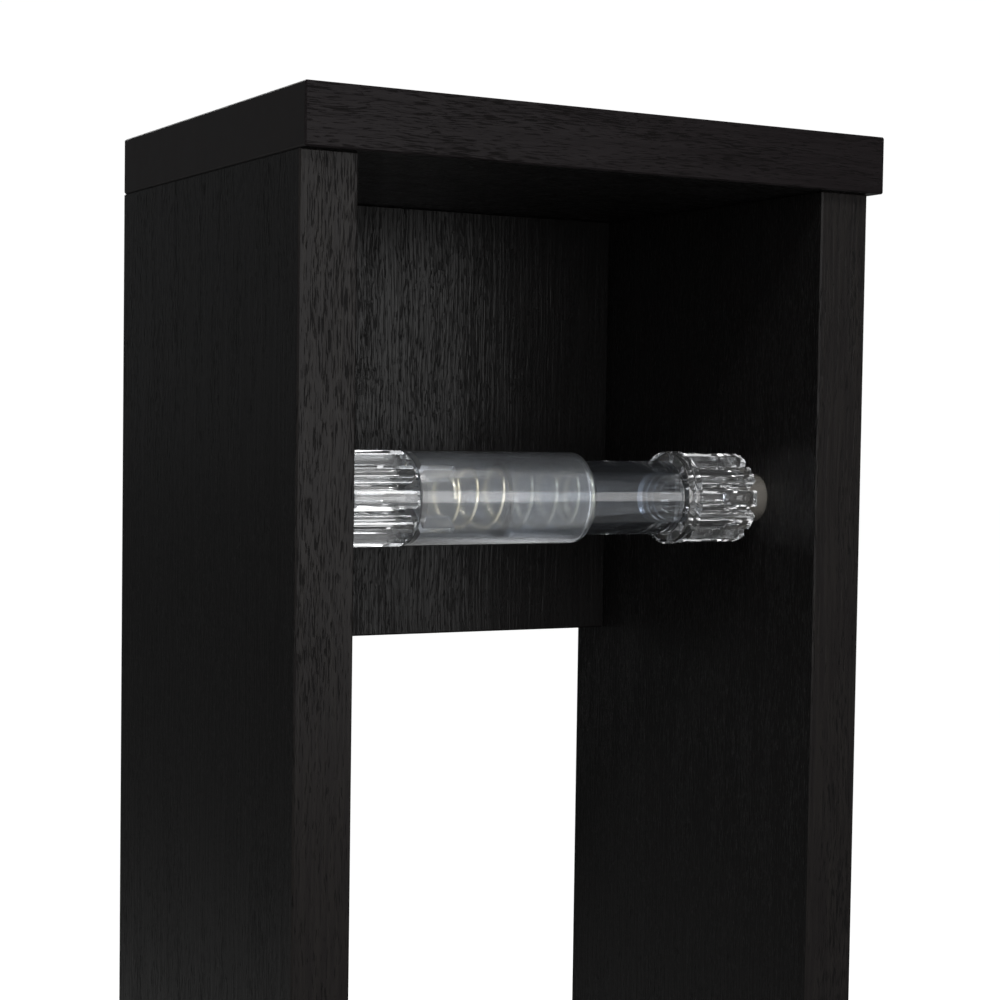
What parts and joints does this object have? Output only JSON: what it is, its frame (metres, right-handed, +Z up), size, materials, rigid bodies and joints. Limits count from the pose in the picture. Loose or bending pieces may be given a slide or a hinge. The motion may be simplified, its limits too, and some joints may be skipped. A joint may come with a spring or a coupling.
{
  "type": "toilet paper holder",
  "caption": "Narrow free-standing black wood-grain toilet paper stand with a clear sprung roller under its top and open storage below",
  "frame": {"origin": "on the floor under the centre of the top panel, which is the centre of the overall box", "axes": "+X to the right seen from the front, along the roller; +Y to the back rails; +Z up"},
  "size_m": [0.168, 0.122, 0.65],
  "materials": {
    "black_laminate": "black wood-grain laminate, low sheen",
    "edge_band": "black wood-grain edge band, low sheen",
    "clear_plastic": "clear moulded plastic, glossy",
    "spring_steel": "drawn steel wire, bright",
    "cam_zinc": "die-cast zinc",
    "bolt_steel": "zinc-plated steel",
    "nail_steel": "bright steel",
    "cap_plastic": "black moulded plastic",
    "glide_plastic": "black moulded plastic",
    "beech": "plain fluted beech"
  },
  "bodies": {
    "stand": {"bottom_shelf": "black_laminate", "glide_back_left": "glide_plastic", "glide_back_right": "glide_plastic", "glide_front_left": "glide_plastic", "glide_front_right": "glide_plastic", "glide_nails": "nail_steel", "left_side_back_edge_band": "edge_band", "left_side_front_edge_band": "edge_band", "left_side_panel": "black_laminate", "lower_back_rail": "black_laminate", "lower_rail_cam_bolts": "bolt_steel", "lower_rail_cam_caps": "cap_plastic", "lower_rail_cam_locks": "cam_zinc", "lower_rail_dowels": "beech", "lower_rail_top_edge_band": "edge_band", "right_side_back_edge_band": "edge_band", "right_side_front_edge_band": "edge_band", "right_side_panel": "black_laminate", "shelf_back_edge_band": "edge_band", "shelf_cam_bolts": "bolt_steel", "shelf_cam_caps": "cap_plastic", "shelf_cam_locks": "cam_zinc", "shelf_dowels": "beech", "shelf_front_edge_band": "edge_band", "top_back_edge_band": "edge_band", "top_dowels": "beech", "top_front_edge_band": "edge_band", "top_left_edge_band": "edge_band", "top_panel": "black_laminate", "top_right_edge_band": "edge_band", "upper_back_rail": "black_laminate", "upper_rail_bottom_edge_band": "edge_band", "upper_rail_cam_bolts": "bolt_steel", "upper_rail_cam_caps": "cap_plastic", "upper_rail_cam_locks": "cam_zinc", "upper_rail_dowels": "beech"},
    "sleeve": {"roller_sleeve": "clear_plastic", "roller_spring": "spring_steel"},
    "plunger": {"roller_plunger": "clear_plastic"}
  },
  "joints": [
    {"name": "roller_spin", "type": "hinge", "parent": "stand", "child": "sleeve", "pos_m": [-0.0015, -0.03, 0.5535], "axis": [1, 0, 0], "continuous": true},
    {"name": "roller_squeeze", "type": "slide", "parent": "sleeve", "child": "plunger", "axis": [-1, 0, 0], "range_m": [0, 0.015], "stiffness_N_per_m": 250, "springref_m": -0.02, "deforming": ["roller_spring"]}
  ]
}
